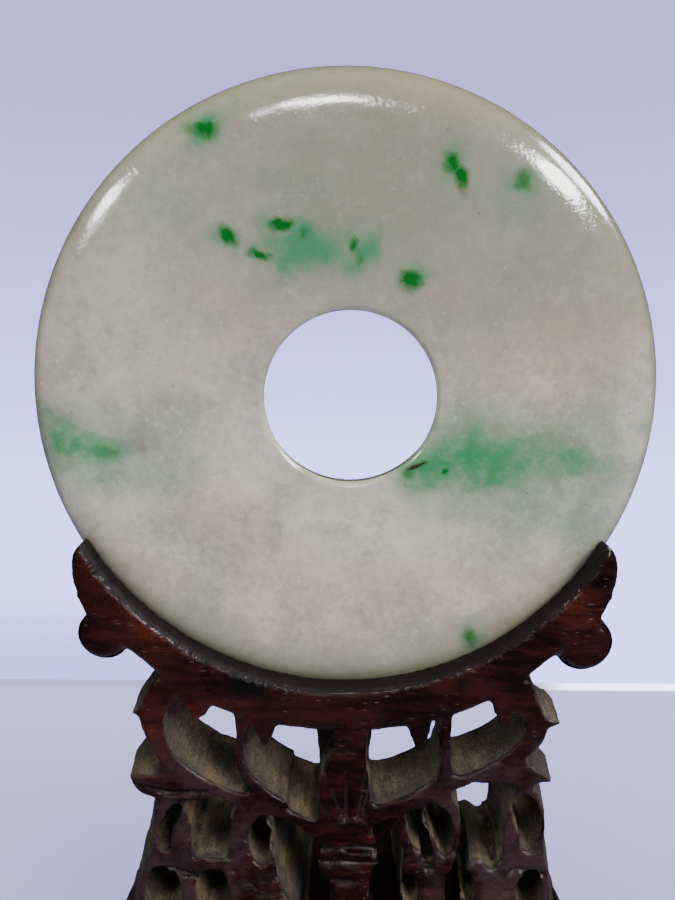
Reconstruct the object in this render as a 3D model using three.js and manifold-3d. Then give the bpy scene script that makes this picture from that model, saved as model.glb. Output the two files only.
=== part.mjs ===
// A jade bi disc standing upright in its carved hardwood stand.
//
// Millimetres, +Z up, +X to the right of someone facing the disc, whose front looks along -Y.
// The origin is on the ground, in the middle of the stand's foot.
//
// The stand is drawn as flat fretwork, in fractions of the disc's radius across and up from the
// disc's centre. Every member and every opening of it is one tapering stroke, given by a few
// stations of [across, up, half width]. The joined fretwork is then bent to the block's true
// form, which grows deeper and rounder towards the foot.

import * as THREE from 'three';
import * as BufferGeometryUtils from 'three/addons/utils/BufferGeometryUtils.js';
import { TessellateModifier } from 'three/addons/modifiers/TessellateModifier.js';
import Module from 'manifold-3d';

// Driving dimensions of the disc.
const DISC_RADIUS = 37.5;
const DISC_THICKNESS = 6;
const HOLE_FRONT_RADIUS = 10.2;
const HOLE_BACK_RADIUS = 11.2;
const HOLE_OFFSET = [0.84, 1.1];
const HOLE_CHAMFER = 0.7;
const SHOULDER_WIDTH = 5.4;
const DISC_CENTRE_HEIGHT = 82.5;

// Driving dimensions of the stand.
const LIP_RADIUS = 35.5;
const CRADLE_OUTER_RADIUS = 42;
const CRADLE_END_THINNING = 1.2;
const CRADLE_HALF_DEPTH = 5.8;
const CRADLE_EDGE = 0.9;
const SEAT_GAP = 0.35;
const FOOT_HALF_WIDTH = 34.5;
const FOOT_HALF_DEPTH = 15;
const FOOT_HEIGHT = 9;
const APRON_HEIGHT = 14.2;
const FOOT_FULLNESS = 3;
const BODY_HALF_DEPTH_TOP = 5.8;
const BODY_HALF_DEPTH_FOOT = 13;
const BODY_FOOT_HALF_WIDTH = 31.5;
const BACK_SHARE_LEFT = 0.8;
const BACK_SHARE_RIGHT = 0.5;
const POST_HALF_WIDTH = 3.5;
const BODY_TOP = -1.15 * DISC_RADIUS;
const BODY_FOOT = FOOT_HEIGHT - DISC_CENTRE_HEIGHT;
const SIDE_SWELL_TOP = 0.02;
const SIDE_SWELL_FOOT = 0.06;
const GROOVE_DEPTH = 1.1;
const POST_WING_SETBACK = 2.6;

// How far a faceted outline may stray from its true curve.
const CURVE_TOLERANCE = 0.06;

const wasm = await Module();
wasm.setup();

// ---------------------------------------------------------------- solids and meshes

function solidOf(geometry) {
  const bare = geometry.clone();
  for (const name of ['normal', 'uv']) {
    bare.deleteAttribute(name);
  }
  const merged = BufferGeometryUtils.mergeVertices(bare, 1e-4);
  return new wasm.Manifold(new wasm.Mesh({
    numProp: 3,
    vertProperties: new Float32Array(merged.attributes.position.array),
    triVerts: new Uint32Array(merged.index.array),
  }));
}

function geometryOf(solid) {
  const mesh = solid.getMesh();
  const geometry = new THREE.BufferGeometry();
  geometry.setAttribute('position', new THREE.BufferAttribute(mesh.vertProperties, 3));
  geometry.setIndex(new THREE.BufferAttribute(mesh.triVerts, 1));
  return geometry;
}

function joined(solids) {
  return solids.reduce((sum, solid) => sum.add(solid));
}

// ---------------------------------------------------------------- flat outlines

// The points of a run that it needs to stay within a tolerance of its true curve.
function thinned(points, tolerance) {
  const first = points[0];
  const last = points[points.length - 1];
  const chord = new THREE.Line3(
    new THREE.Vector3(first.x, first.y, 0), new THREE.Vector3(last.x, last.y, 0));
  let farthest = 0;
  let split = 0;
  for (let i = 1; i < points.length - 1; i += 1) {
    const point = new THREE.Vector3(points[i].x, points[i].y, 0);
    const off = chord.closestPointToPoint(point, true, new THREE.Vector3()).distanceTo(point);
    if (off > farthest) {
      farthest = off;
      split = i;
    }
  }
  if (farthest < tolerance) {
    return [first, last];
  }
  const before = thinned(points.slice(0, split + 1), tolerance);
  return before.slice(0, -1).concat(thinned(points.slice(split), tolerance));
}

// A tapering stroke through [across, up, half width] stations, as a closed outline.
function strokeOutline(stations) {
  const spine = new THREE.CatmullRomCurve3(
    stations.map(([across, up, halfWidth]) => new THREE.Vector3(across, up, halfWidth)),
    false, 'centripetal');
  const count = (stations.length - 1) * 8;
  const left = [];
  const right = [];
  for (let i = 0; i <= count; i += 1) {
    const at = spine.getPoint(i / count);
    const along = spine.getTangent(i / count).setZ(0).normalize();
    left.push(new THREE.Vector2(at.x - along.y * at.z, at.y + along.x * at.z));
    right.push(new THREE.Vector2(at.x + along.y * at.z, at.y - along.x * at.z));
  }
  const sides = [left, right.reverse()].map((side) => side.map((point) => point.multiplyScalar(DISC_RADIUS)));
  return sides.flatMap((side) => thinned(side, CURVE_TOLERANCE));
}

// The outline pushed from back to front, standing upright: x stays, y becomes height.
function slab(outline, front, back, bevel = 0) {
  const geometry = new THREE.ExtrudeGeometry(new THREE.Shape(outline), {
    depth: back - front - 2 * bevel,
    bevelEnabled: bevel > 0,
    bevelThickness: bevel,
    bevelSize: bevel,
    bevelOffset: -bevel,
    bevelSegments: 1,
    curveSegments: 12,
  });
  geometry.rotateX(Math.PI / 2);
  return geometry.translate(0, back - bevel, 0);
}

function member(stations, halfDepth = BODY_HALF_DEPTH_TOP) {
  return solidOf(slab(strokeOutline(stations), -halfDepth, halfDepth));
}

function opening(stations) {
  const past = 2 * BODY_HALF_DEPTH_TOP;
  return solidOf(slab(strokeOutline(stations), -past, past));
}

// A shallow cut along a stroke, on the front and the same on the back.
function grooves(stations) {
  const outline = strokeOutline(stations);
  const past = 2 * BODY_HALF_DEPTH_TOP;
  const floor = BODY_HALF_DEPTH_TOP - GROOVE_DEPTH;
  return [
    solidOf(slab(outline, -past, -floor)),
    solidOf(slab(outline, floor, past)),
  ];
}

// ---------------------------------------------------------------- the disc

// Flat faces that roll over in a soft shoulder to the rim.
function discProfile(grow = 0, steps = 6) {
  const half = DISC_THICKNESS / 2;
  const shoulderStart = DISC_RADIUS - SHOULDER_WIDTH;
  const profile = [];
  for (let i = 0; i <= 2 * steps; i += 1) {
    const turn = (i / (2 * steps)) * Math.PI - Math.PI / 2;
    const out = Math.cos(turn) ** 0.85 * SHOULDER_WIDTH;
    const up = Math.sign(turn) * Math.abs(Math.sin(turn)) ** 0.85 * half;
    const length = Math.hypot(Math.cos(turn) * half, Math.sin(turn) * SHOULDER_WIDTH);
    const pushOut = grow * Math.cos(turn) * half / length;
    const pushUp = grow * Math.sin(turn) * SHOULDER_WIDTH / length;
    profile.push(new THREE.Vector2(shoulderStart + out + pushOut, up + pushUp));
  }
  return profile;
}

// The hole widens a little towards the back, as a drill leaves it, and its edges are broken.
function discGeometry() {
  const half = DISC_THICKNESS / 2;
  const front = HOLE_FRONT_RADIUS;
  const back = HOLE_BACK_RADIUS;
  const body = new THREE.LatheGeometry([
    new THREE.Vector2(0, -half),
    ...discProfile(),
    new THREE.Vector2(0, half),
  ], 72);
  const cutter = new THREE.LatheGeometry([
    new THREE.Vector2(0, -2 * half),
    new THREE.Vector2(front + HOLE_CHAMFER + half, -2 * half),
    new THREE.Vector2(front + HOLE_CHAMFER, -half),
    new THREE.Vector2(front, -half + HOLE_CHAMFER),
    new THREE.Vector2(back, half - HOLE_CHAMFER),
    new THREE.Vector2(back + HOLE_CHAMFER, half),
    new THREE.Vector2(back + HOLE_CHAMFER + half, 2 * half),
    new THREE.Vector2(0, 2 * half),
  ], 48);
  cutter.translate(HOLE_OFFSET[0], 0, HOLE_OFFSET[1]);
  const geometry = geometryOf(solidOf(body).subtract(solidOf(cutter)));
  return geometry;
}

// ---------------------------------------------------------------- the cradle

// The crescent, its two-lobed horns and, cut into its top, the seat that fits the disc.
const HORN_LEAF = [
  [0.842, -0.428, 0.004], [0.849, -0.475, 0.034], [0.843, -0.54, 0.055],
  [0.82, -0.6, 0.068], [0.785, -0.66, 0.066], [0.74, -0.7, 0.05],
];
const HORN_LOBES = [
  { side: -1, centre: [-0.8, -0.762], radius: 0.09 },
  { side: 1, centre: [0.8, -0.784], radius: 0.098 },
];

function crescentOutline() {
  const reach = THREE.MathUtils.degToRad(52);
  const steps = 38;
  const outer = [];
  const inner = [];
  for (let i = 0; i <= steps; i += 1) {
    const angle = -reach + (2 * reach * i) / steps;
    const thinning = CRADLE_END_THINNING * THREE.MathUtils.smoothstep(Math.abs(angle), 0.35, 0.75);
    const radius = CRADLE_OUTER_RADIUS - thinning;
    const within = LIP_RADIUS - 2;
    outer.push(new THREE.Vector2(Math.sin(angle) * radius, -Math.cos(angle) * radius));
    inner.push(new THREE.Vector2(Math.sin(angle) * within, -Math.cos(angle) * within));
  }
  return outer.concat(inner.reverse());
}

function circleOutline([across, up], radius) {
  const circle = new THREE.Shape();
  circle.absarc(across * DISC_RADIUS, up * DISC_RADIUS, radius * DISC_RADIUS, 0, 2 * Math.PI);
  return circle.getPoints(14).slice(0, -1);
}

function seatCutter() {
  const beyond = 3 * CRADLE_HALF_DEPTH;
  const profile = discProfile(SEAT_GAP, 4);
  const seated = profile.filter((point) => point.x > LIP_RADIUS);
  const wall = Math.abs(seated[0].y);
  return new THREE.LatheGeometry([
    new THREE.Vector2(0, -beyond),
    new THREE.Vector2(LIP_RADIUS, -beyond),
    new THREE.Vector2(LIP_RADIUS, -wall),
    ...seated,
    new THREE.Vector2(LIP_RADIUS, wall),
    new THREE.Vector2(LIP_RADIUS, beyond),
    new THREE.Vector2(0, beyond),
  ], 132);
}

function cradleSolid() {
  const depth = CRADLE_HALF_DEPTH;
  const parts = [solidOf(slab(crescentOutline(), -depth, depth, CRADLE_EDGE))];
  for (const { side, centre, radius } of HORN_LOBES) {
    const leaf = HORN_LEAF.map(([across, up, halfWidth]) => [side * across, up, halfWidth]);
    parts.push(solidOf(slab(strokeOutline(leaf), -depth + 0.2, depth - 0.2)));
    parts.push(solidOf(slab(circleOutline(centre, radius), -depth + 0.3, depth - 0.3, CRADLE_EDGE)));
  }
  return joined(parts).subtract(solidOf(seatCutter()));
}

// ---------------------------------------------------------------- the fretwork

// Stations are [across, up, half width] in disc radii from the disc's centre.
const LEFT = {
  members: {
    elbow: [
      [-0.58, -0.93, 0.05], [-0.645, -1.03, 0.052], [-0.64, -1.13, 0.038], [-0.595, -1.225, 0.036],
      [-0.51, -1.3, 0.035], [-0.41, -1.345, 0.028], [-0.31, -1.37, 0.026], [-0.2, -1.415, 0.026],
      [-0.11, -1.46, 0.03], [-0.04, -1.52, 0.03],
    ],
    elbowPoint: [[-0.62, -1.035, 0.05], [-0.675, -1.035, 0.03], [-0.72, -1.037, 0.005]],
    outerHook: [[-0.5, -0.93, 0.075], [-0.495, -1.02, 0.043], [-0.507, -1.07, 0.014]],
    innerCurl: [
      [-0.345, -1.04, 0.024], [-0.348, -1.12, 0.022], [-0.356, -1.2, 0.025], [-0.335, -1.275, 0.028],
      [-0.27, -1.34, 0.026], [-0.19, -1.395, 0.024],
    ],
    innerHook: [[-0.275, -1.04, 0.055], [-0.265, -1.11, 0.034], [-0.27, -1.172, 0.012]],
    leafLobe: [
      [-0.45, -1.35, 0.02], [-0.54, -1.345, 0.04], [-0.63, -1.33, 0.052], [-0.7, -1.31, 0.04],
      [-0.745, -1.285, 0.006],
    ],
    lobeRoot: [[-0.61, -1.24, 0.03], [-0.6, -1.31, 0.04]],
    outerRing: [
      [-0.595, -1.36, 0.035], [-0.6, -1.45, 0.076], [-0.6, -1.53, 0.08], [-0.6, -1.62, 0.08],
    ],
    innerRing: [
      [-0.27, -1.385, 0.035], [-0.31, -1.43, 0.075], [-0.322, -1.5, 0.088], [-0.305, -1.57, 0.07],
      [-0.285, -1.63, 0.045],
    ],
    waist: [[-0.7, -1.6, 0.02], [-0.61, -1.592, 0.028], [-0.52, -1.6, 0.028], [-0.39, -1.595, 0.022]],
    lowOuterRing: [
      [-0.6, -1.59, 0.095], [-0.605, -1.66, 0.112], [-0.615, -1.74, 0.12], [-0.635, -1.88, 0.13],
    ],
    lowInnerRing: [[-0.45, -1.59, 0.06], [-0.445, -1.68, 0.075], [-0.45, -1.88, 0.085]],
    tongue: [[-0.325, -1.58, 0.045], [-0.32, -1.7, 0.047], [-0.32, -1.88, 0.055]],
    stem: [[-0.26, -1.56, 0.028], [-0.24, -1.66, 0.034], [-0.2, -1.75, 0.045], [-0.16, -1.88, 0.07]],
  },
  openings: {
    outerRing: [
      [-0.572, -1.39, 0.008], [-0.605, -1.46, 0.02], [-0.632, -1.525, 0.017], [-0.612, -1.56, 0.006],
    ],
    innerRing: [
      [-0.27, -1.43, 0.012], [-0.285, -1.49, 0.033], [-0.283, -1.545, 0.03], [-0.278, -1.59, 0.01],
    ],
    lowOuterRing: [
      [-0.62, -1.632, 0.03], [-0.63, -1.69, 0.06], [-0.635, -1.745, 0.058], [-0.63, -1.79, 0.025],
    ],
    lowInnerRing: [
      [-0.455, -1.62, 0.03], [-0.455, -1.665, 0.05], [-0.455, -1.72, 0.045], [-0.455, -1.76, 0.02],
    ],
  },
};

const RIGHT = {
  members: {
    elbow: [
      [0.575, -0.93, 0.05], [0.635, -1.03, 0.042], [0.655, -1.1, 0.042], [0.6, -1.185, 0.037],
      [0.525, -1.245, 0.035], [0.44, -1.278, 0.026], [0.345, -1.31, 0.034],
    ],
    elbowPoint: [[0.63, -1.06, 0.045], [0.69, -1.062, 0.027], [0.739, -1.066, 0.005]],
    outerHook: [[0.545, -0.96, 0.045], [0.543, -1.04, 0.034], [0.551, -1.1, 0.02]],
    innerCurl: [[0.345, -1.03, 0.026], [0.35, -1.12, 0.024], [0.355, -1.2, 0.025], [0.352, -1.29, 0.036]],
    innerHook: [[0.262, -1.03, 0.045], [0.262, -1.11, 0.037], [0.266, -1.182, 0.025]],
    leafLobe: [
      [0.4, -1.285, 0.018], [0.53, -1.28, 0.025], [0.62, -1.265, 0.048], [0.68, -1.28, 0.028],
      [0.725, -1.297, 0.004],
    ],
    toPost: [
      [0.345, -1.31, 0.045], [0.29, -1.348, 0.046], [0.21, -1.378, 0.034], [0.14, -1.405, 0.038],
      [0.06, -1.43, 0.055],
    ],
    outerRing: [
      [0.625, -1.3, 0.025], [0.637, -1.39, 0.066], [0.632, -1.46, 0.08], [0.63, -1.53, 0.08],
      [0.63, -1.62, 0.085],
    ],
    innerRing: [
      [0.325, -1.33, 0.045], [0.342, -1.4, 0.066], [0.357, -1.47, 0.062], [0.355, -1.54, 0.052],
      [0.345, -1.62, 0.035],
    ],
    waist: [[0.53, -1.6, 0.022], [0.62, -1.588, 0.03], [0.715, -1.6, 0.024]],
    lowOuterRing: [
      [0.635, -1.6, 0.09], [0.635, -1.67, 0.1], [0.63, -1.74, 0.112], [0.64, -1.88, 0.125],
    ],
    lowInnerRing: [
      [0.455, -1.572, 0.022], [0.475, -1.64, 0.062], [0.485, -1.72, 0.073], [0.48, -1.88, 0.08],
    ],
    tongue: [[0.335, -1.59, 0.028], [0.338, -1.7, 0.028], [0.335, -1.88, 0.035]],
    stem: [
      [0.245, -1.53, 0.03], [0.245, -1.62, 0.05], [0.25, -1.72, 0.052], [0.25, -1.88, 0.06],
    ],
    stemTop: [[0.2, -1.4, 0.02], [0.21, -1.47, 0.02], [0.235, -1.56, 0.03]],
  },
  openings: {
    outerRing: [
      [0.612, -1.345, 0.012], [0.634, -1.41, 0.042], [0.652, -1.48, 0.034], [0.64, -1.545, 0.008],
    ],
    innerRing: [
      [0.3, -1.378, 0.012], [0.325, -1.43, 0.038], [0.352, -1.49, 0.028], [0.357, -1.55, 0.008],
    ],
    lowOuterRing: [
      [0.66, -1.632, 0.02], [0.655, -1.68, 0.04], [0.655, -1.735, 0.035], [0.655, -1.775, 0.012],
    ],
    lowInnerRing: [[0.43, -1.63, 0.01], [0.43, -1.67, 0.02], [0.435, -1.72, 0.01]],
    stem: [[0.232, -1.62, 0.008], [0.232, -1.66, 0.022], [0.238, -1.71, 0.01]],
  },
};

const POST = [
  [0.027, -1.05, 0.056], [0.025, -1.16, 0.06], [0.012, -1.26, 0.086], [0.005, -1.34, 0.1],
  [0.005, -1.43, 0.094], [0.008, -1.5, 0.094], [0.018, -1.54, 0.106], [0.02, -1.6, 0.108],
  [0.028, -1.64, 0.072], [0.03, -1.74, 0.068], [0.03, -1.88, 0.09],
];
const POST_WING = [[0.005, -1.05, 0.1], [0.005, -1.2, 0.1], [0.005, -1.36, 0.096]];

// The leaf on the post, the bands under it, and the creases of the two leaf lobes.
const GROOVES = [
  [[-0.005, -1.5, 0.003], [-0.035, -1.4, 0.007], [-0.075, -1.3, 0.004]],
  [[0.015, -1.5, 0.003], [0.04, -1.4, 0.007], [0.08, -1.3, 0.004]],
  [[0.0, -1.49, 0.003], [-0.012, -1.35, 0.006], [-0.02, -1.2, 0.004]],
  [[0.01, -1.49, 0.003], [0.03, -1.35, 0.006], [0.045, -1.2, 0.004]],
  [[-0.11, -1.532, 0.008], [0.14, -1.538, 0.008]],
  [[-0.11, -1.568, 0.006], [0.14, -1.574, 0.006]],
  [[-0.69, -1.325, 0.004], [-0.6, -1.345, 0.007], [-0.5, -1.34, 0.004]],
  [[-0.685, -1.65, 0.004], [-0.6, -1.618, 0.006], [-0.53, -1.635, 0.004]],
  [[0.55, -1.625, 0.004], [0.62, -1.61, 0.006], [0.71, -1.64, 0.004]],
];

// How far down the body a height lies, from 0 at its top to 1 at the foot.
function downBody(height) {
  return THREE.MathUtils.clamp((BODY_TOP - height) / (BODY_TOP - BODY_FOOT), 0, 1);
}

// The back is cut away further on the right of the post than on its left, less so lower down.
function backShare(across, down) {
  const toRight = THREE.MathUtils.smoothstep(across, -POST_HALF_WIDTH, POST_HALF_WIDTH);
  const share = THREE.MathUtils.lerp(BACK_SHARE_LEFT, BACK_SHARE_RIGHT, toRight);
  return THREE.MathUtils.lerp(share, 1, down ** 3);
}

// The block deepens towards the foot, where its plan is an oval, and its sides swell out
// halfway from front to back.
function bendToBlock(geometry) {
  const position = geometry.attributes.position;
  const at = new THREE.Vector3();
  for (let i = 0; i < position.count; i += 1) {
    at.fromBufferAttribute(position, i);
    const down = downBody(at.z);
    const halfDepth = THREE.MathUtils.lerp(BODY_HALF_DEPTH_TOP, BODY_HALF_DEPTH_FOOT, down ** 2);
    const outward = Math.abs(at.x) / BODY_FOOT_HALF_WIDTH;
    const oval = (1 - outward ** FOOT_FULLNESS) ** (1 / FOOT_FULLNESS);
    const swell = THREE.MathUtils.lerp(SIDE_SWELL_TOP, SIDE_SWELL_FOOT, down);
    const towardsFace = at.y / BODY_HALF_DEPTH_TOP;
    const share = towardsFace > 0 ? backShare(at.x, down) : 1;
    at.x *= 1 + swell * (1 - towardsFace * towardsFace);
    at.y = towardsFace * share * halfDepth * THREE.MathUtils.lerp(1, oval, down);
    position.setXYZ(i, at.x, at.y, at.z);
  }
  return geometry;
}

function fretworkSolid() {
  const members = [member(POST)];
  members.push(solidOf(slab(strokeOutline(POST_WING),
    -BODY_HALF_DEPTH_TOP + POST_WING_SETBACK, BODY_HALF_DEPTH_TOP - POST_WING_SETBACK)));
  const openings = [];
  for (const half of [LEFT, RIGHT]) {
    members.push(...Object.values(half.members).map((stations) => member(stations)));
    openings.push(...Object.values(half.openings).map((stations) => opening(stations)));
  }
  const cuts = openings.concat(GROOVES.flatMap((stations) => grooves(stations)));
  const flat = geometryOf(joined(members).subtract(joined(cuts)));
  const split = new TessellateModifier(10, 8).modify(flat.toNonIndexed());
  return solidOf(bendToBlock(split));
}

// ---------------------------------------------------------------- the foot

// A low oval plinth, fuller at its corners than an ellipse: a rounded base slab, a hollow, a
// bead, and above them the plain apron that the fretwork grows out of.
function footSolid() {
  const profile = [
    [0, 0], [1, 0], [1, 2.7], [0.98, 3.8], [0.925, 4.5], [0.905, 6.1], [0.93, 7], [0.93, 8.3],
    [0.9, FOOT_HEIGHT], [0.87, APRON_HEIGHT - 1], [0.8, APRON_HEIGHT], [0, APRON_HEIGHT],
  ];
  const geometry = new THREE.LatheGeometry(profile.map(([out, up]) => new THREE.Vector2(out, up)), 48);
  geometry.rotateX(Math.PI / 2);
  const position = geometry.attributes.position;
  for (let i = 0; i < position.count; i += 1) {
    const across = position.getX(i);
    const back = position.getY(i);
    const norm = (Math.abs(across) ** FOOT_FULLNESS + Math.abs(back) ** FOOT_FULLNESS)
      ** (1 / FOOT_FULLNESS);
    const fuller = norm > 0 ? Math.hypot(across, back) / norm : 1;
    position.setX(i, across * fuller * FOOT_HALF_WIDTH);
    position.setY(i, back * fuller * FOOT_HALF_DEPTH);
  }
  return solidOf(geometry);
}

function standGeometry() {
  const upper = geometryOf(cradleSolid().add(fretworkSolid()));
  upper.translate(0, 0, DISC_CENTRE_HEIGHT);
  return geometryOf(solidOf(upper).add(footSolid()));
}

// ---------------------------------------------------------------- the object

function named(name, geometry, settings) {
  const mesh = new THREE.Mesh(geometry, new THREE.MeshStandardMaterial(settings));
  mesh.name = name;
  return mesh;
}

const disc = named('bi_disc', discGeometry(), { color: 0xb9bbae, roughness: 0.22, metalness: 0 });
disc.position.z = DISC_CENTRE_HEIGHT;

const stand = named('carved_stand', standGeometry(), { color: 0x47201a, roughness: 0.35, metalness: 0 });

const group = new THREE.Group();
group.add(disc, stand);

export default group;
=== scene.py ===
"""A jade bi disc standing in its carved hardwood stand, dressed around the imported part."""

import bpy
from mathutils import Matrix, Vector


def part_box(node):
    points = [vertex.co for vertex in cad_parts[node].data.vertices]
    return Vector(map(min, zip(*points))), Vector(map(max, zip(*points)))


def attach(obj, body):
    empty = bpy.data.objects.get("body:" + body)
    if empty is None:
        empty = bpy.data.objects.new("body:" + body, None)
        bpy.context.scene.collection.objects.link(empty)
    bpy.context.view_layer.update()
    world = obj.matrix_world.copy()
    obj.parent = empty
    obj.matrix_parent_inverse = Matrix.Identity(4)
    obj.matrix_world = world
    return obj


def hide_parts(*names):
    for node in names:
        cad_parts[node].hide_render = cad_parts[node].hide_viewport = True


bl_info = {
    "name": "Jade Bi Disc on a Carved Stand",
    "version": (1, 0, 0),
    "blender": (4, 5, 0),
    "location": "View3D > Sidebar > Jade Bi",
    "description": "Makes a pale green-flecked jade bi disc, its carved hardwood stand and a plain studio",
    "category": "Object",
}

import math

import bmesh
import bpy
import numpy as np
from bpy.props import FloatProperty, FloatVectorProperty, IntProperty, PointerProperty
from mathutils import Matrix, Vector, noise
from mathutils.bvhtree import BVHTree

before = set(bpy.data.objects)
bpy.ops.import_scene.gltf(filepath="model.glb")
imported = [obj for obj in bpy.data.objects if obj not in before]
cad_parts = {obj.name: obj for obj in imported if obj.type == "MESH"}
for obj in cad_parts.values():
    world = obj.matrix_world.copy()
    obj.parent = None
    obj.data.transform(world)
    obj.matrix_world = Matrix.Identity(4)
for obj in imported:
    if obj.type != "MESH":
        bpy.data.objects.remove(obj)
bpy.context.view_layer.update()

MM = 0.001
QUARTER_TURN = math.pi / 2

# The disc's place and size come from its node; the patterns count in disc radii from its centre.
DISC_LOW, DISC_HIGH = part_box("bi_disc")
DISC_CENTRE = (DISC_LOW + DISC_HIGH) / 2
DISC_RADIUS = (DISC_HIGH.x - DISC_LOW.x) / 2
DISC_THICKNESS = DISC_HIGH.y - DISC_LOW.y
STAND_LOW, STAND_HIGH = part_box("carved_stand")

# The disc's own measures: the bore's radii and how far it is off the middle, its edges, its polish.
HOLE_FRONT = 10.2 * MM
HOLE_BACK = 11.2 * MM
HOLE_SHIFT = (0.84 * MM, 0.0, 1.1 * MM)
HOLE_BEVEL = 0.7 * MM
SHOULDER = 5.4 * MM
POLISH_DEPTH = 0.05 * MM

# The studio, in metres: the sweep's floor, curve and top, and the table top's edges.
SWEEP_FLOOR = -0.02
SWEEP_START = 0.45
SWEEP_END = 0.8
SWEEP_TOP = 0.9
TABLE_HALF_WIDTH = 0.45
TABLE_FRONT = -0.4
TABLE_THICKNESS = 0.004


# ---------------------------------------------------------------- nodes as arithmetic

class Value:
    """A node's output that takes part in Python arithmetic by adding Math nodes to its graph."""

    def __init__(self, graph, socket):
        self.graph = graph
        self.socket = socket

    def math(self, operation, *others):
        inputs = {0: self}
        for place, other in enumerate(others, 1):
            inputs[place] = other
        return self.graph.node("ShaderNodeMath", {"operation": operation}, inputs)

    def __add__(self, other):
        return self.math("ADD", other)

    __radd__ = __add__

    def __sub__(self, other):
        return self.math("SUBTRACT", other)

    def __rsub__(self, other):
        return self.graph.node("ShaderNodeMath", {"operation": "SUBTRACT"}, {0: other, 1: self})

    def __mul__(self, other):
        return self.math("MULTIPLY", other)

    __rmul__ = __mul__

    def __truediv__(self, other):
        return self.math("DIVIDE", other)

    def __pow__(self, other):
        return self.math("POWER", other)

    def __abs__(self):
        return self.math("ABSOLUTE")

    def sin(self):
        return self.math("SINE")

    def cos(self):
        return self.math("COSINE")

    def at_least(self, other):
        return self.math("MAXIMUM", other)

    def at_most(self, other):
        return self.math("MINIMUM", other)

    def share(self, start, end):
        """0 at start, 1 at end, straight between them and held outside them."""
        return self.graph.node(
            "ShaderNodeMapRange", {"clamp": True}, {"Value": self, "From Min": start, "From Max": end}
        )

    def ease(self, start, end):
        """0 at start, 1 at end, with a soft beginning and ending."""
        return self.graph.node(
            "ShaderNodeMapRange",
            {"clamp": True, "interpolation_type": "SMOOTHSTEP"},
            {"Value": self, "From Min": start, "From Max": end},
        )


class Graph:
    """A node tree being written: node() adds any node, the other methods are the common ones."""

    def __init__(self, tree):
        self.tree = tree
        self.tree.nodes.clear()

    def node(self, kind, settings=None, inputs=None, output=0):
        made = self.tree.nodes.new(kind)
        for name, setting in (settings or {}).items():
            setattr(made, name, setting)
        for key, value in (inputs or {}).items():
            self.feed(made.inputs[key], value)
        return Value(self, made.outputs[output]) if made.outputs else None

    def feed(self, socket, value):
        if isinstance(value, Value):
            self.tree.links.new(value.socket, socket)
        elif socket.type == "RGBA":
            socket.default_value = (*value[:3], 1.0)
        else:
            socket.default_value = value

    def vector(self, operation, first, second=None, output=0):
        inputs = {0: first}
        if second is not None:
            inputs[1] = second
        return self.node("ShaderNodeVectorMath", {"operation": operation}, inputs, output)

    def scaled(self, place, factors):
        return self.vector("MULTIPLY", place, factors)

    def combine(self, x, y, z):
        return self.node("ShaderNodeCombineXYZ", None, {0: x, 1: y, 2: z})

    def parts(self, place):
        split = self.node("ShaderNodeSeparateXYZ", None, {0: place}).socket.node
        return [Value(self, socket) for socket in split.outputs]

    def colour(self, first, second, share):
        settings = {"data_type": "RGBA", "clamp_factor": True}
        return self.node("ShaderNodeMix", settings, {0: share, 6: first, 7: second}, 2)

    def cloud(self, place, scale, detail=4.0, roughness=0.5, distortion=0.0):
        inputs = {"Vector": place, "Scale": scale, "Detail": detail,
                  "Roughness": roughness, "Distortion": distortion}
        return self.node("ShaderNodeTexNoise", None, inputs)

    def drift(self, place, scale, amount, detail=3.0):
        """The place, pushed about by a smooth random field of that scale."""
        inputs = {"Vector": place, "Scale": scale, "Detail": detail}
        field = self.node("ShaderNodeTexNoise", None, inputs, "Color")
        centred = self.vector("SUBTRACT", field, (0.5, 0.5, 0.5))
        return self.vector("ADD", place, self.scaled(centred, (amount, amount, amount)))

    def cells(self, place, scale, output="Distance"):
        return self.node("ShaderNodeTexVoronoi", None, {"Vector": place, "Scale": scale}, output)

    def patch(self, place, centre, half, turn, heart=0.2, edge=1.0):
        """1 in the heart of a leaning oval in the disc's plane and 0 outside it."""
        inputs = {"Vector": place, "Location": (centre[0], 0, centre[1]),
                  "Rotation": (0, math.radians(turn), 0), "Scale": (half[0], 1, half[1])}
        local = self.node("ShaderNodeMapping", {"vector_type": "TEXTURE"}, inputs)
        return self.vector("LENGTH", local, None, "Value").ease(edge, heart)

    def attribute(self, name):
        return self.node("ShaderNodeAttribute", {"attribute_name": name}, None, "Fac")

    def place_in_disc_radii(self):
        place = self.node("ShaderNodeTexCoord", None, None, "Object")
        middle = self.vector("SUBTRACT", place, tuple(DISC_CENTRE))
        unit = 1 / DISC_RADIUS
        return self.scaled(middle, (unit, unit, unit))


def new_material(name):
    material = bpy.data.materials.get(name) or bpy.data.materials.new(name)
    material.use_nodes = True
    return material, Graph(material.node_tree)


def finish_shader(graph, constants, varying, bumps):
    """Sets a Principled shader's fixed sockets, feeds its varying ones and chains its bumps."""
    shader = graph.node("ShaderNodeBsdfPrincipled", None, {**constants, **varying})
    normal = None
    for height, strength, distance in bumps:
        inputs = {"Height": height, "Strength": strength, "Distance": distance}
        if normal is not None:
            inputs["Normal"] = normal
        normal = graph.node("ShaderNodeBump", None, inputs)
    if normal is not None:
        graph.feed(shader.socket.node.inputs["Normal"], normal)
    graph.node("ShaderNodeOutputMaterial", None, {"Surface": shader})


# ---------------------------------------------------------------- jade

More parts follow.
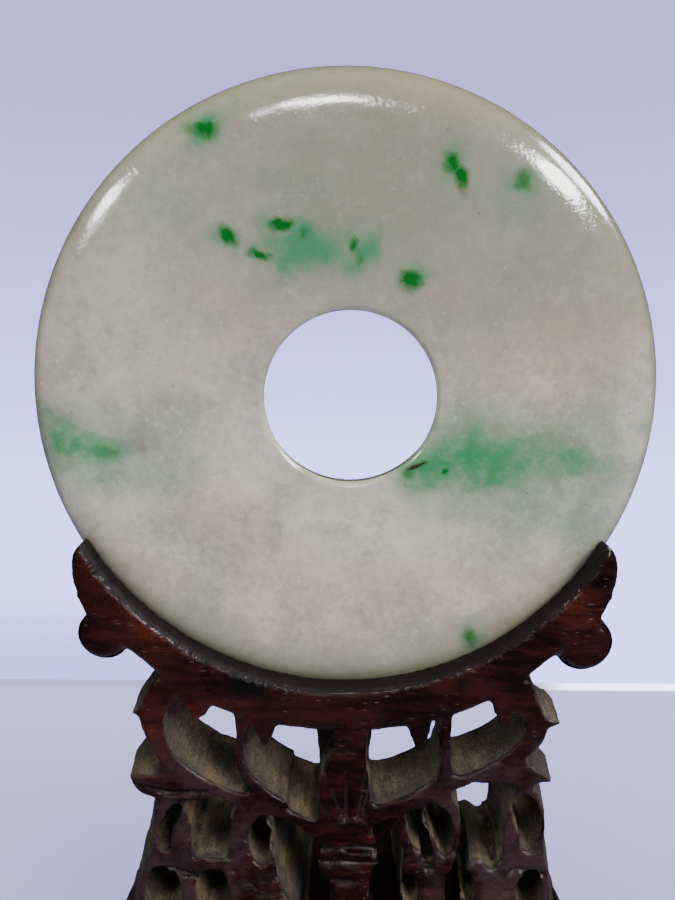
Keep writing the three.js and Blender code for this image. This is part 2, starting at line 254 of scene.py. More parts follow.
# Green colour in the jade: centre across and up, half width and height, all in disc radii,
# then the lean in degrees and the strength.
EMERALD_SPOTS = [
    ((-0.44, 0.818), (0.034, 0.02), 0, 0.45),
    ((-0.402, 0.815), (0.04, 0.022), 10, 1.0),
    ((-0.343, 0.521), (0.036, 0.021), 40, 1.0),
    ((-0.254, 0.469), (0.034, 0.015), 12, 1.0),
    ((-0.182, 0.553), (0.034, 0.018), -4, 1.0),
    ((-0.12, 0.527), (0.015, 0.018), 0, 0.45),
    ((0.028, 0.493), (0.013, 0.024), 0, 0.75),
    ((0.047, 0.45), (0.013, 0.022), 20, 0.4),
    ((0.203, 0.389), (0.036, 0.027), 8, 1.0),
    ((0.314, 0.723), (0.022, 0.03), -20, 1.0),
    ((0.341, 0.682), (0.021, 0.042), -22, 1.0),
    ((0.522, 0.676), (0.025, 0.03), 30, 0.65),
    ((0.427, -0.783), (0.022, 0.036), -20, 0.7),
    ((0.329, -0.203), (0.01, 0.01), 0, 0.8),
    ((0.205, -0.212), (0.02, 0.014), 0, 0.55),
    ((-0.745, -0.152), (0.032, 0.016), 20, 0.3),
]
BACK_SPOTS = [
    ((0.51, 0.56), (0.046, 0.03), 24, 1.0),
    ((-0.31, 0.7), (0.03, 0.052), -14, 0.9),
    ((-0.56, 0.24), (0.04, 0.024), 10, 0.8),
    ((0.12, 0.48), (0.03, 0.022), 0, 0.7),
    ((0.48, -0.48), (0.026, 0.034), 20, 0.7),
]
GREEN_HALOS = [
    ((-0.41, 0.812), (0.1, 0.07), 5, 0.85),
    ((-0.296, 0.892), (0.06, 0.06), 60, 0.3),
    ((-0.345, 0.522), (0.07, 0.055), 20, 0.75),
    ((-0.254, 0.469), (0.07, 0.04), 0, 0.6),
    ((-0.182, 0.552), (0.08, 0.045), 0, 0.7),
    ((-0.114, 0.498), (0.13, 0.1), -10, 1.0),
    ((-0.01, 0.48), (0.1, 0.09), 0, 0.5),
    ((-0.154, 0.43), (0.05, 0.045), 30, 0.7),
    ((0.038, 0.482), (0.085, 0.11), 0, 0.75),
    ((0.215, 0.385), (0.095, 0.06), 8, 0.8),
    ((0.332, 0.694), (0.075, 0.1), 20, 0.62),
    ((0.33, 0.59), (0.06, 0.05), 0, 0.22),
    ((0.52, 0.672), (0.07, 0.06), 20, 0.6),
    ((0.518, 0.6), (0.11, 0.09), 10, 0.34),
    ((0.435, -0.785), (0.085, 0.07), 0, 0.6),
    ((-0.58, 0.6), (0.22, 0.12), 20, 0.2),
    ((-0.16, 0.64), (0.36, 0.16), 4, 0.22),
    ((0.15, 0.62), (0.12, 0.2), 4, 0.15),
    ((-0.48, -0.04), (0.22, 0.16), 0, 0.16),
    ((-0.56, -0.22), (0.2, 0.13), 0, 0.28),
    ((0.962, -0.045), (0.04, 0.09), 0, 0.4),
    ((0.78, -0.33), (0.22, 0.16), -20, 0.46),
    ((0.64, -0.32), (0.12, 0.15), 0, 0.42),
    ((0.32, -0.34), (0.2, 0.09), 0, 0.42),
]
GREEN_BANDS = [
    ((-0.85, -0.1), (0.19, 0.07), 20, 0.9),
    ((-0.775, -0.12), (0.15, 0.085), 24, 1.0),
    ((-0.82, -0.14), (0.26, 0.16), 14, 0.66),
    ((0.31, -0.205), (0.19, 0.12), -4, 1.0),
    ((0.42, -0.165), (0.28, 0.13), -4, 0.95),
    ((0.58, -0.16), (0.26, 0.11), 2, 0.84),
    ((0.74, -0.17), (0.16, 0.07), 4, 0.8),
    ((0.48, -0.15), (0.46, 0.21), 0, 0.6),
]
WARM_ZONES = [
    ((0.62, 0.2), (0.44, 0.3), 0, 0.6),
    ((0.2, 0.9), (0.6, 0.12), 0, 0.55),
    ((-0.385, -0.37), (0.26, 0.2), 20, 0.95),
    ((0.05, -0.62), (0.9, 0.34), 0, 0.85),
    ((0.3, 0.33), (0.1, 0.08), 0, 0.6),
    ((-0.36, 0.22), (0.26, 0.24), 0, 0.6),
]
# Grey tone, partly the jade's own and partly painted shade.
GREY_AND_SHADE_ZONES = [
    ((0.08, 0.66), (0.46, 0.34), -10, 0.95),
    ((-0.24, 0.8), (0.3, 0.16), 10, 0.5),
    ((0.24, 0.4), (0.22, 0.18), 0, 0.4),
    ((0.56, 0.44), (0.4, 0.24), 0, 0.45),
    ((0.62, -0.12), (0.4, 0.26), 0, 0.4),
    ((-0.56, 0.0), (0.2, 0.1), 0, 0.3),
]
# Milky tone, partly the jade's own and partly painted light.
MILKY_AND_LIT_ZONES = [
    ((-0.72, 0.3), (0.34, 0.34), 0, 0.6),
    ((-0.6, 0.18), (0.3, 0.2), 0, 0.5),
    ((0.08, -0.4), (0.36, 0.2), 0, 1.0),
    ((-0.06, -0.37), (0.22, 0.12), 0, 1.0),
    ((-0.29, -0.13), (0.18, 0.2), 0, 0.85),
    ((-0.78, -0.3), (0.24, 0.18), 0, 0.6),
    ((0.9, -0.33), (0.12, 0.18), 0, 0.5),
    ((0.93, 0.12), (0.12, 0.2), 0, 0.6),
    ((0.4, 0.46), (0.14, 0.08), -20, 0.35),
]

# Each broad zone of the jade: the attribute's name, its ovals, and how far they fade. The grey zones are
# partly painted shade, darkest at the top, and the milky ones partly painted light, brightest below the
# hole.
JADE_ZONES = (
    ("warm", WARM_ZONES, 1.25),
    ("grey", GREY_AND_SHADE_ZONES, 1.3),
    ("milky", MILKY_AND_LIT_ZONES, 1.3),
    ("halo", GREEN_HALOS, 1.35),
    ("band", GREEN_BANDS, 1.45),
)


def jade_material(colours):
    """Pale cloudy jade: warm and cool zones, sugary grain, emerald spots with soft haloes."""
    material, g = new_material("pale_jade")
    place = g.place_in_disc_radii()
    flat = g.scaled(place, (1, 0.55, 1))
    in_plane = g.scaled(g.drift(g.drift(flat, 3.0, 0.1), 11.0, 0.05, 5.0), (1, 0, 1))
    in_spots = g.scaled(g.drift(g.drift(flat, 9.0, 0.012), 34.0, 0.034, 2.0), (1, 0, 1))

    def gathered(marks):
        total = None
        for centre, half, turn, strength in marks:
            one = g.patch(in_spots, centre, half, turn, 0.15, 1.6) * strength
            total = one if total is None else total.at_least(one)
        return total

    warm = (g.attribute("warm") + (g.cloud(flat, 2.6, 5.0, 0.6) - 0.5) * 2.6).share(0.0, 1.0)
    body = g.colour(colours.cool_jade, colours.warm_jade, warm)
    veil = g.cloud(g.drift(flat, 4.0, 0.25), 5.5, 6.0, 0.68)
    body = g.colour(body, colours.milky_jade, g.attribute("milky") * 0.75)
    body = g.colour(body, colours.grey_jade, g.attribute("grey") * 0.8)
    body = g.colour(body, colours.milky_jade, veil.ease(0.5, 0.66) * 0.42)
    body = g.colour(body, colours.grey_jade, veil.ease(0.5, 0.34) * 0.4)
    sugar = g.cloud(g.drift(flat, 30.0, 0.02), 40.0, 5.0, 0.72)
    body = g.colour(body, colours.milky_jade, sugar.ease(0.5, 0.68) * 0.3)
    body = g.colour(body, colours.grey_jade, sugar.ease(0.5, 0.32) * 0.24)
    crystals = g.cells(g.drift(flat, 20.0, 0.03), 34.0)
    seldom = g.cloud(flat, 9.0, 2.0).ease(0.48, 0.64)
    body = g.colour(body, colours.milky_jade, crystals.ease(0.17, 0.05) * seldom * 0.9)

    across, _, level = g.parts(flat)
    # Painted shade: the jade turns greyer towards the top and towards the right.
    painted_top_shade = level.ease(-0.1, 0.5) * (0.36 + 0.34 * across.ease(-0.75, -0.05))
    body = g.colour(body, colours.grey_jade, painted_top_shade)
    rim = g.vector("LENGTH", g.scaled(place, (1, 0, 1)), None, "Value")
    # Painted shade and painted reflection: greyer near the rim on the lower part, where the dark cradle
    # shades and mirrors in the shoulder.
    body = g.colour(body, colours.grey_jade, rim.ease(0.74, 0.97) * level.ease(-0.3, -0.75) * 0.75)

    halo = g.attribute("halo") * (0.3 + 1.7 * g.cloud(flat, 12.0, 6.0, 0.68))
    body = g.colour(body, colours.halo_green, halo.ease(0.0, 1.18) * 0.94)
    band = g.attribute("band") * (0.4 + 1.3 * g.cloud(flat, 16.0, 6.0, 0.7))
    body = g.colour(body, colours.band_green, band.ease(0.0, 1.14) * 0.94)
    front_half = g.parts(place)[1].ease(0.03, -0.03)
    emerald = gathered(EMERALD_SPOTS) * front_half
    emerald = emerald.at_least(gathered(BACK_SPOTS) * (1 - front_half))
    emerald = emerald * (0.8 + 0.5 * g.cloud(flat, 24.0, 3.0))
    body = g.colour(body, colours.emerald, emerald.share(0.0, 0.9))

    smudge = g.patch(in_plane, (-0.655, -0.11), (0.085, 0.06), -10, 0.0, 1.3) * 0.5
    smudge = smudge.at_least(g.patch(in_plane, (-0.648, -0.126), (0.032, 0.02), 20, 0.0, 1.3) * 0.7)
    body = g.colour(body, (0.2, 0.17, 0.16), smudge)
    pit = g.patch(in_plane, (0.234, -0.181), (0.036, 0.012), -12, 0.45, 1.15)
    body = g.colour(body, (0.045, 0.022, 0.01), pit * 0.95)
    specks = g.cells(g.vector("ADD", flat, (7.3, 2.1, 4.7)), 13.0)
    body = g.colour(body, (0.07, 0.06, 0.045), specks.ease(0.055, 0.02) * 0.65)
    # The olive rim is partly the jade's own tone and partly painted shade that keeps the lit rim dark.
    skin = rim.ease(0.95, 1.0) * 0.55
    body = g.colour(body, colours.rim_jade_and_shade, skin)

    polish = 0.04 + 0.03 * g.cloud(flat, 30.0, 3.0) + 0.06 * sugar.ease(0.54, 0.64)
    peel = g.cloud(place, 75.0, 3.0, 0.65)
    rolling = g.cloud(place, 5.0, 2.0)
    pores = g.cells(place, 48.0).ease(0.05, 0.0)
    finish_shader(
        g,
        {"IOR": 1.62, "Specular IOR Level": 0.7, "Subsurface Weight": 0.12, "Subsurface Scale": 0.001,
         "Subsurface Radius": (1.0, 1.05, 0.8), "Coat Weight": 0.6, "Coat Roughness": 0.05,
         "Coat IOR": 1.5},
        {"Base Color": body, "Roughness": polish},
        [(peel, 0.16, 0.0002), (rolling, 0.1, 0.002), (pores * -1.0, 0.25, 0.0001)],
    )
    return material


# ---------------------------------------------------------------- hardwood

# Orange-brown glow on the waxed wood, partly where the wax is thin and partly painted light where the wood
# is lit: centre, half width and height in disc radii, lean, strength.
GLOW_ZONES = [
    ((-0.66, -0.76), (0.17, 0.14), 20, 0.85),
    ((-0.8, -0.52), (0.1, 0.18), 10, 0.45),
    ((0.74, -0.64), (0.1, 0.2), -35, 0.75),
    ((-0.66, -1.12), (0.14, 0.22), 25, 0.7),
    ((-0.46, -1.05), (0.16, 0.09), 0, 0.8),
    ((-0.1, -1.02), (0.4, 0.07), 0, 0.35),
    ((0.4, -0.93), (0.26, 0.1), 25, 0.45),
    ((0.75, -0.46), (0.08, 0.12), 0, 0.55),
]
# The soot mark: centre, half width and height, lean.
SOOT_MARK = ((-0.325, -0.935), (0.085, 0.055), 10)
SOOT_BLACK = (0.0025, 0.0025, 0.0032)
HOLLOW_SHADE = (0.012, 0.012, 0.009)


def hardwood_material(colours):
    """Waxed dark red-brown faces with pale pore dashes, raw khaki sawn walls and a bare lip, darkened partly
    by painted shade.
    """
    material, g = new_material("carved_hardwood")
    place = g.place_in_disc_radii()
    raw, outer, border = g.attribute("raw"), g.attribute("outer"), g.attribute("border")
    lip, worn, hollow = g.attribute("lip"), g.attribute("worn"), g.attribute("hollow")
    x, _, z = g.parts(place)
    waxed_only = (1 - raw) * (1 - lip)

    # Waxed faces: straight grain across, a plum tint low down that is partly painted reflection, a warmer
    # glow partly where the wax is thin and partly painted light, a sooty stain.
    wavy = g.drift(place, 2.5, 0.08)
    grain = g.cloud(g.scaled(wavy, (1.0, 0.8, 6.0)), 5.0, 6.0, 0.62, 0.4)
    fine = g.cloud(g.scaled(wavy, (2.2, 3.0, 15.0)), 5.0, 4.0, 0.65)
    waxed = g.colour(colours.dark_wax, colours.red_wood, grain.ease(0.38, 0.64))
    waxed = g.colour(waxed, colours.dark_wax, fine.ease(0.54, 0.4) * 0.8)
    waxed = g.colour(waxed, colours.orange_wood, fine.ease(0.56, 0.7) * 0.3)
    # Painted reflection: the plum tint low down stands partly for the pale table mirrored in the wax, over a
    # slight plum tone of the wood.
    plum = z.ease(-1.02, -1.25) * g.cloud(place, 7.0, 4.0, 0.6).ease(0.36, 0.6) * (x * x).ease(0.02, 0.16)
    waxed = g.colour(waxed, colours.plum_wax_and_reflection, plum * 0.7)
    cloudy = g.cloud(place, 3.2, 4.0, 0.55)
    # Painted light: the orange glow is laid on where the thin wood is lit, over a random warmer tone.
    glow = cloudy.ease(0.55, 0.85) * 0.3
    for centre, half, turn, strength in GLOW_ZONES:
        glow = glow + g.patch(place, centre, half, turn, 0.0, 1.3) * strength
    waxed = g.colour(waxed, colours.orange_wood, (glow * grain.ease(0.22, 0.6)).at_most(0.9))
    soot = g.patch(g.drift(place, 14.0, 0.07), *SOOT_MARK, 0.3, 1.2)
    waxed = g.colour(waxed, SOOT_BLACK, soot * 0.95)

    # Open pores show as short pale dashes along the grain, most of them on the crescent.
    pore_place = g.scaled(g.drift(place, 4.0, 0.02), (26.0, 40.0, 130.0))
    chosen = g.parts(g.cells(pore_place, 1.0, output="Color"))[0]
    on_crescent = z.ease(-1.2, -1.08)
    pore = g.cells(pore_place, 1.0).ease(0.34, 0.1) * chosen.ease(0.55, 0.95)
    pores = pore * g.cloud(place, 9.0, 3.0).ease(0.46, 0.62) * (0.25 + 0.75 * on_crescent)
    waxed = g.colour(waxed, colours.pore_dust, pores * 0.55)
    # Pale bare wood along chipped edges, partly a painted highlight of their glints.
    waxed = g.colour(waxed, colours.worn_edge_and_glint, worn * g.cloud(place, 40.0, 3.0).ease(0.45, 0.62) * 0.8)

    waxed = g.colour(waxed, colours.groove_dust, g.attribute("scored").ease(0.45, 0.95) * 0.55)

    # Raw walls: dusty felted khaki with golden patches, inky towards the waxed faces, greyer outside.
    fibres = g.cloud(g.scaled(place, (66.0, 11.0, 66.0)), 1.0, 6.0, 0.72)
    felt = g.cloud(place, 120.0, 4.0, 0.7)
    blotch = g.cloud(place, 5.5, 5.0, 0.62)
    bare = g.colour(colours.khaki_dark, colours.khaki, (fibres * 0.6 + felt * 0.4).ease(0.32, 0.66))
    bare = g.colour(bare, colours.khaki_dark, blotch.ease(0.54, 0.34) * 0.9)
    bare = g.colour(bare, colours.golden, blotch.ease(0.52, 0.68) * felt.ease(0.38, 0.6) * 0.75)
    bare = g.colour(bare, HOLLOW_SHADE, hollow.ease(0.35, 0.98) * 0.35)
    bare = g.colour(bare, colours.dust, z.ease(-1.52, -1.12) * felt.ease(0.4, 0.62) * 0.45)
    inky = border * g.cloud(place, 8.0, 4.0, 0.65).ease(0.3, 0.52)
    bare = g.colour(bare, colours.ink, inky * 0.92)
    waxed_edge = border.ease(0.72, 0.98) * g.cloud(place, 26.0, 3.0).ease(0.36, 0.56)
    bare = g.colour(bare, colours.dark_wax, waxed_edge)
    bare = g.colour(bare, colours.grey_side, outer * 0.75)
    scrape = g.cells(g.scaled(place, (90.0, 30.0, 90.0)), 1.0).ease(0.2, 0.08)
    bare = g.colour(bare, colours.dust, scrape * g.cloud(place, 12.0, 2.0).ease(0.5, 0.7) * 0.5)

    # The lip that the disc stands behind: flat, sawn across, dark grey-brown, its darkness partly painted
    # shade from the disc.
    across = g.cloud(g.scaled(place, (44.0, 2.5, 44.0)), 1.0, 4.0, 0.7)
    streaked = across.ease(0.5, 0.78) * g.cloud(place, 5.0, 3.0).ease(0.4, 0.65)
    lip_wood = g.colour(colours.lip_dark_and_shade, colours.lip_pale, streaked)

    wood = g.colour(g.colour(waxed, bare, raw), lip_wood, lip)
    # Painted shade: darker in the creases.
    wood = g.colour(wood, colours.dark_wax, g.attribute("crease_shade") * 0.75)
    shine = 0.16 + 0.26 * g.cloud(place, 30.0, 4.0, 0.65) + 0.3 * pores
    roughness = (shine * (1 - raw) + raw * (0.9 - 0.2 * outer)) * (1 - lip) + lip * 0.62
    rolls = g.cloud(g.scaled(place, (1.0, 0.8, 1.8)), 6.0, 3.0, 0.5)
    nap = g.cloud(g.scaled(wavy, (1.0, 1.3, 1.8)), 70.0, 4.0, 0.7)
    finish_shader(
        g,
        {"IOR": 1.5, "Specular IOR Level": 0.21, "Coat Roughness": 0.12},
        {"Base Color": wood, "Roughness": roughness, "Coat Weight": waxed_only * (0.06 + 0.3 * on_crescent)},
        [
            (fibres * raw, 0.5, 0.0006),
            (felt * raw, 0.35, 0.0004),
            (rolls * waxed_only * (1.0 - 0.75 * on_crescent), 0.45, 0.0022),
            (nap * waxed_only, 0.24, 0.0003),
            (fine * waxed_only, 0.06, 0.0004),
            (pores * -1.0, 0.4, 0.0002),
            (across * lip, 0.2, 0.0003),
        ],
    )
    return material


def stage_material(colours):
    """Smooth pale card glowing with painted light, a little brighter near the table and darker up the wall.
    """
    material, g = new_material("pale_card")
    across, depth, height = g.parts(g.node("ShaderNodeTexCoord", None, None, "Object"))
    tone = g.colour(colours.card_low, colours.card_high, height.share(-0.02, 0.32) ** 0.36)
    # Painted shade: a darker blue patch on the floor behind the table's left part.
    tone = g.colour(tone, (0.235, 0.24, 0.56), depth.ease(0.175, 0.115) * across.ease(0.03, -0.05))
    glow = g.node("ShaderNodeEmission", None, {"Color": tone, "Strength": 4.0})
    g.node("ShaderNodeOutputMaterial", None, {"Surface": glow})
    return material


def table_material(colours):
    """Smooth pale table top with a painted glow, brighter towards its back, a painted shaded strip along the
    back edge and a painted highlight on the strip's right end.
    """
    material, g = new_material("pale_table")
    place = g.node("ShaderNodeTexCoord", None, None, "Object")
    across, depth, _ = g.parts(place)
    speck = g.cloud(place, 700.0, 2.0)
    tone = g.colour(colours.table, (0.6, 0.57, 0.9), speck)
    # Painted light: the glow rises towards the back; painted shade in the strip along the back edge and a
    # painted highlight on its right end.
    glow = g.colour((0.03, 0.01, 0.28), (0.34, 0.35, 0.8), depth.share(0.0, 0.058))
    strip = depth.ease(0.07, 0.0712)
    glow = g.colour(glow, (0.2, 0.19, 0.5), strip)
    glow = g.colour(glow, (3.5, 3.4, 4.6), strip * across.ease(0.045, 0.06))
    finish_shader(g, {"IOR": 1.45, "Specular IOR Level": 0.2, "Emission Strength": 1.0},
                  {"Base Color": tone, "Roughness": 0.5 + 0.1 * speck, "Emission Color": glow}, [])
    return material


# ---------------------------------------------------------------- meshes

def object_from(mesh, name):
    made = bpy.data.objects.new(name, mesh)
    bpy.context.scene.collection.objects.link(made)
    return made


def baked(source, name):
    """A plain mesh object with what the source's modifiers give, in place of the source."""
    bpy.context.view_layer.update()
    depsgraph = bpy.context.evaluated_depsgraph_get()
    mesh = bpy.data.meshes.new_from_object(source.evaluated_get(depsgraph), depsgraph=depsgraph)
    old = source.data
    bpy.data.objects.remove(source)
    bpy.data.meshes.remove(old)
    mesh.name = name
    return object_from(mesh, name)


def outward(mesh):
    work = bmesh.new()
    work.from_mesh(mesh)
    bmesh.ops.recalc_face_normals(work, faces=work.faces)
    if work.calc_volume(signed=True) < 0:
        bmesh.ops.reverse_faces(work, faces=work.faces)
    work.to_mesh(mesh)
    work.free()


def disc_tree(name):
    """A ring turned from a profile: flaring bore, bevelled edges, flat faces and a soft outer shoulder."""
    tree = bpy.data.node_groups.new(name, "GeometryNodeTree")
    g = Graph(tree)
    face = tree.interface

    def slot(label, kind, default):
        made = face.new_socket(name=label, in_out="INPUT", socket_type=kind)
        if default is not None:
            made.default_value = default
        return made

    slot("Radius", "NodeSocketFloat", DISC_RADIUS)
    slot("Thickness", "NodeSocketFloat", DISC_THICKNESS)
    slot("Hole Front", "NodeSocketFloat", HOLE_FRONT)
    slot("Hole Back", "NodeSocketFloat", HOLE_BACK)
    slot("Hole Shift", "NodeSocketVector", HOLE_SHIFT)
    slot("Shoulder", "NodeSocketFloat", SHOULDER)
    slot("Hole Bevel", "NodeSocketFloat", HOLE_BEVEL)
    slot("Polish Depth", "NodeSocketFloat", POLISH_DEPTH)
    slot("Steps Around", "NodeSocketInt", 400)
    slot("Steps Across", "NodeSocketInt", 201)
    slot("Material", "NodeSocketMaterial", None)
    face.new_socket(name="Geometry", in_out="OUTPUT", socket_type="NodeSocketGeometry")
    given = tree.nodes.new("NodeGroupInput")
    use = {socket.name: Value(g, socket) for socket in given.outputs if socket.name}

    grid_inputs = {"Size X": 1.0, "Size Y": 1.0, "Vertices X": use["Steps Around"],
                   "Vertices Y": use["Steps Across"]}
    grid = g.node("GeometryNodeMeshGrid", None, grid_inputs)
    x, y, _ = g.parts(g.node("GeometryNodeInputPosition"))
    angle = x * (2 * math.pi)
    half = use["Thickness"] * 0.5
    bevel = use["Hole Bevel"]
    out = 1 - abs(y * 2)
    side = y.math("SIGN")
    bore = out.share(0.0, 0.05)
    corner = out.share(0.05, 0.1) * QUARTER_TURN
    across = out.share(0.1, 0.6)
    shoulder = out.share(0.6, 1.0) * QUARTER_TURN
    softness = 0.85
    height = (half - bevel) * bore + bevel * corner.sin()
    towards_back = (height * side / (half - bevel)).share(-1.0, 1.0)
    hole = use["Hole Front"] + (use["Hole Back"] - use["Hole Front"]) * towards_back
    flat_width = use["Radius"] - use["Shoulder"] - hole - bevel
    radius = (
        hole + bevel * (1 - corner.cos()) + flat_width * across
        + use["Shoulder"] * shoulder.sin().at_least(0.0) ** softness
    )
    height = height - half * (1 - shoulder.cos().at_least(0.0) ** softness)
    ring = g.combine(radius * angle.cos(), height * side, radius * angle.sin())
    shift = g.node("ShaderNodeVectorMath", {"operation": "SCALE"},
                   {0: use["Hole Shift"], "Scale": 1 - across})
    ring = g.vector("ADD", ring, shift)
    turned = g.node("GeometryNodeSetPosition", None, {"Geometry": grid, "Position": ring})
    turned_out = g.node("GeometryNodeFlipFaces", None, {"Mesh": turned})
    sealed = g.node("GeometryNodeMergeByDistance", None, {"Geometry": turned_out, "Distance": 0.002 * MM})

    # Hand polishing leaves the faces very slightly uneven, always a little inside the turned form.
    uneven = g.cloud(g.node("GeometryNodeInputPosition"), 55.0, 2.0)
    inward = g.node("ShaderNodeVectorMath", {"operation": "SCALE"},
                    {0: g.node("GeometryNodeInputNormal"), "Scale": uneven * use["Polish Depth"] * -1.0})
    polished = g.node("GeometryNodeSetPosition", None, {"Geometry": sealed, "Offset": inward})
    smooth = g.node("GeometryNodeSetShadeSmooth", None, {"Geometry": polished})
    whole = g.node("GeometryNodeRealizeInstances", None, {"Geometry": smooth})
    dressed = g.node("GeometryNodeSetMaterial", None, {"Geometry": whole, "Material": use["Material"]})
    g.node("NodeGroupOutput", None, {"Geometry": dressed})
    return tree


def add_tree(target, tree, values):
    modifier = target.modifiers.new(tree.name, "NODES")
    modifier.node_group = tree
    for item in tree.interface.items_tree:
        if item.item_type == "SOCKET" and item.in_out == "INPUT" and item.name in values:
            modifier[item.identifier] = values[item.name]
    return modifier


def oval(across, up, centre, half, turn, heart, edge):
    """1 in the heart of a leaning oval and 0 outside it, as Graph.patch gives it in a material."""
    lean = math.radians(turn)
    right, rise = across - centre[0], up - centre[1]
    along = (right * math.cos(lean) - rise * math.sin(lean)) / half[0]
    over = (right * math.sin(lean) + rise * math.cos(lean)) / half[1]
    return eased(np.hypot(along, over), edge, heart)


def map_jade_zones(mesh):
    """Notes the broad zones of tone, painted shade and painted light, and green on the disc's skin, their
    outlines drawn by soft noise.
    """
    places = (places_of(mesh) - np.array(DISC_CENTRE)) / DISC_RADIUS
    across, up = places[:, 0].copy(), places[:, 2].copy()
    for scale, amount in ((3.0, 0.04), (9.0, 0.04), (24.0, 0.016)):
        across += amount * field(places, (scale, scale * 0.5, scale), 11)
        up += amount * field(places, (scale, scale * 0.5, scale), 12)
    for name, zones, edge in JADE_ZONES:
        strongest = np.zeros(len(across))
        for centre, half, turn, strength in zones:
            strongest = np.maximum(strongest, strength * oval(across, up, centre, half, turn, 0.0, edge))
        add_attribute(mesh, name, strongest)


def make_jade_disc(settings):
    source = object_from(bpy.data.meshes.new("disc_source"), "disc_source")
    add_tree(source, disc_tree("turned_ring"), {
        "Radius": settings.radius,
        "Thickness": settings.thickness,
        "Hole Front": settings.hole_front,
        "Hole Back": settings.hole_back,
        "Hole Shift": Vector(settings.hole_shift),
        "Shoulder": settings.shoulder,
        "Hole Bevel": settings.hole_bevel,
        "Polish Depth": settings.polish_depth,
        "Material": jade_material(settings),
    })
    disc = baked(source, "jade_disc")
    disc.data.transform(Matrix.Translation(DISC_CENTRE))
    outward(disc.data)
    map_jade_zones(disc.data)
    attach(disc, "root")
    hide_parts("bi_disc")
    return disc


# ---------------------------------------------------------------- the carved stand

def copied_node(node, name):
    """The CAD node's mesh, copied and merged into one skin."""
    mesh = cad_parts[node].data.copy()
    mesh.name = name
    work = bmesh.new()
    work.from_mesh(mesh)
    bmesh.ops.remove_doubles(work, verts=work.verts, dist=0.001 * MM)
    work.to_mesh(mesh)
    work.free()
    mesh.materials.clear()
    return object_from(mesh, name)


def places_of(mesh):
    flat = np.empty(len(mesh.vertices) * 3)
    mesh.vertices.foreach_get("co", flat)
    return flat.reshape(-1, 3)


def normals_of(mesh):
    flat = np.empty(len(mesh.vertices) * 3, np.float32)
    mesh.vertex_normals.foreach_get("vector", flat)
    return flat.reshape(-1, 3).astype(float)


def set_places(mesh, places):
    mesh.vertices.foreach_set("co", places.ravel())
    mesh.update()


class Skin:
    """A mesh's neighbours, for spreading a value over its surface."""

    def __init__(self, mesh):
        pairs = np.empty(len(mesh.edges) * 2, np.int32)
        mesh.edges.foreach_get("vertices", pairs)
        self.one, self.other = pairs.reshape(-1, 2).T
        self.count = len(mesh.vertices)
        ends = np.concatenate([self.one, self.other])
        self.degree = np.maximum(np.bincount(ends, minlength=self.count), 1)

    def spread(self, values, rounds):
        for _ in range(rounds):
            total = np.bincount(self.one, values[self.other], self.count)
            total += np.bincount(self.other, values[self.one], self.count)
            values = 0.5 * values + 0.5 * total / self.degree
        return values


def field(places, scale, seed):
    """Smooth noise from -1 to 1 at each place, with the scale given in waves per metre for each axis."""
    offset = np.array([seed * 17.3, seed * 5.1, seed * 9.7])
    spots = places * np.array(scale) + offset
    return np.array([noise.noise(spot) for spot in spots.tolist()])


def eased(values, start, end):
    share = np.clip((values - start) / (end - start), 0, 1)
    return share * share * (3 - 2 * share)


def enclosure(mesh, places, normals, reach):
    """How far each spot looks onto the same piece across an opening, from 0 to 1."""
    tree = BVHTree.FromPolygons(
        [tuple(p) for p in places.tolist()], [tuple(f.vertices) for f in mesh.polygons]
    )
    tilts = [(-35, 0), (0, 0), (35, 0), (0, 35)]
    seen = np.zeros(len(places))
    level = normals * np.array([1, 0, 1])
    length = np.linalg.norm(level, axis=1)
    sides = np.flatnonzero(length > 0.45)
    for spot in sides:
        out = level[spot] / length[spot]
        start = Vector(places[spot] + normals[spot] * 0.15 * MM)
        hits = 0
        for turn, lean in tilts:
            turned = math.radians(turn)
            across = out[0] * math.cos(turned) - out[2] * math.sin(turned)
            up = out[0] * math.sin(turned) + out[2] * math.cos(turned)
            ray = Vector((across, math.sin(math.radians(lean)), up))
            if tree.ray_cast(start, ray, reach)[0] is not None:
                hits += 1
        seen[spot] = hits / len(tilts)
    return seen


def add_attribute(mesh, name, values):
    made = mesh.attributes.new(name, "FLOAT", "POINT")
    made.data.foreach_set("value", np.clip(values, 0, 1).astype(np.float32))


def make_carved_stand(settings):
    """The CAD form as an even skin, fitted back onto it, then carved and stained."""
    voxel = settings.grain_size * 1.0
    stand = copied_node("carved_stand", "carved_hardwood_stand")
    form = copied_node("carved_stand", "form_guide")
    remesh = stand.modifiers.new("even", "REMESH")
    remesh.mode = "VOXEL"
    remesh.voxel_size = voxel
    wrap = stand.modifiers.new("true_to_form", "SHRINKWRAP")
    wrap.target = form
    wrap.wrap_method = "NEAREST_SURFACEPOINT"
    soften = stand.modifiers.new("soften", "SMOOTH")
    soften.factor = 0.5
    soften.iterations = settings.soften_rounds
    stand = baked(stand, "carved_hardwood_stand")
    bpy.data.objects.remove(form)
    triangles = sum(len(face.vertices) - 2 for face in stand.data.polygons)
    if triangles > settings.triangle_limit:
        thin = stand.modifiers.new("thin", "DECIMATE")
        thin.ratio = settings.triangle_limit / triangles
        stand = baked(stand, "carved_hardwood_stand")
    mesh = stand.data
    carve(mesh, settings)
    outward(mesh)
    mesh.polygons.foreach_set("use_smooth", [True] * len(mesh.polygons))
    mesh.materials.append(hardwood_material(settings))
    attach(stand, "root")
    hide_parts("carved_stand")
    return stand


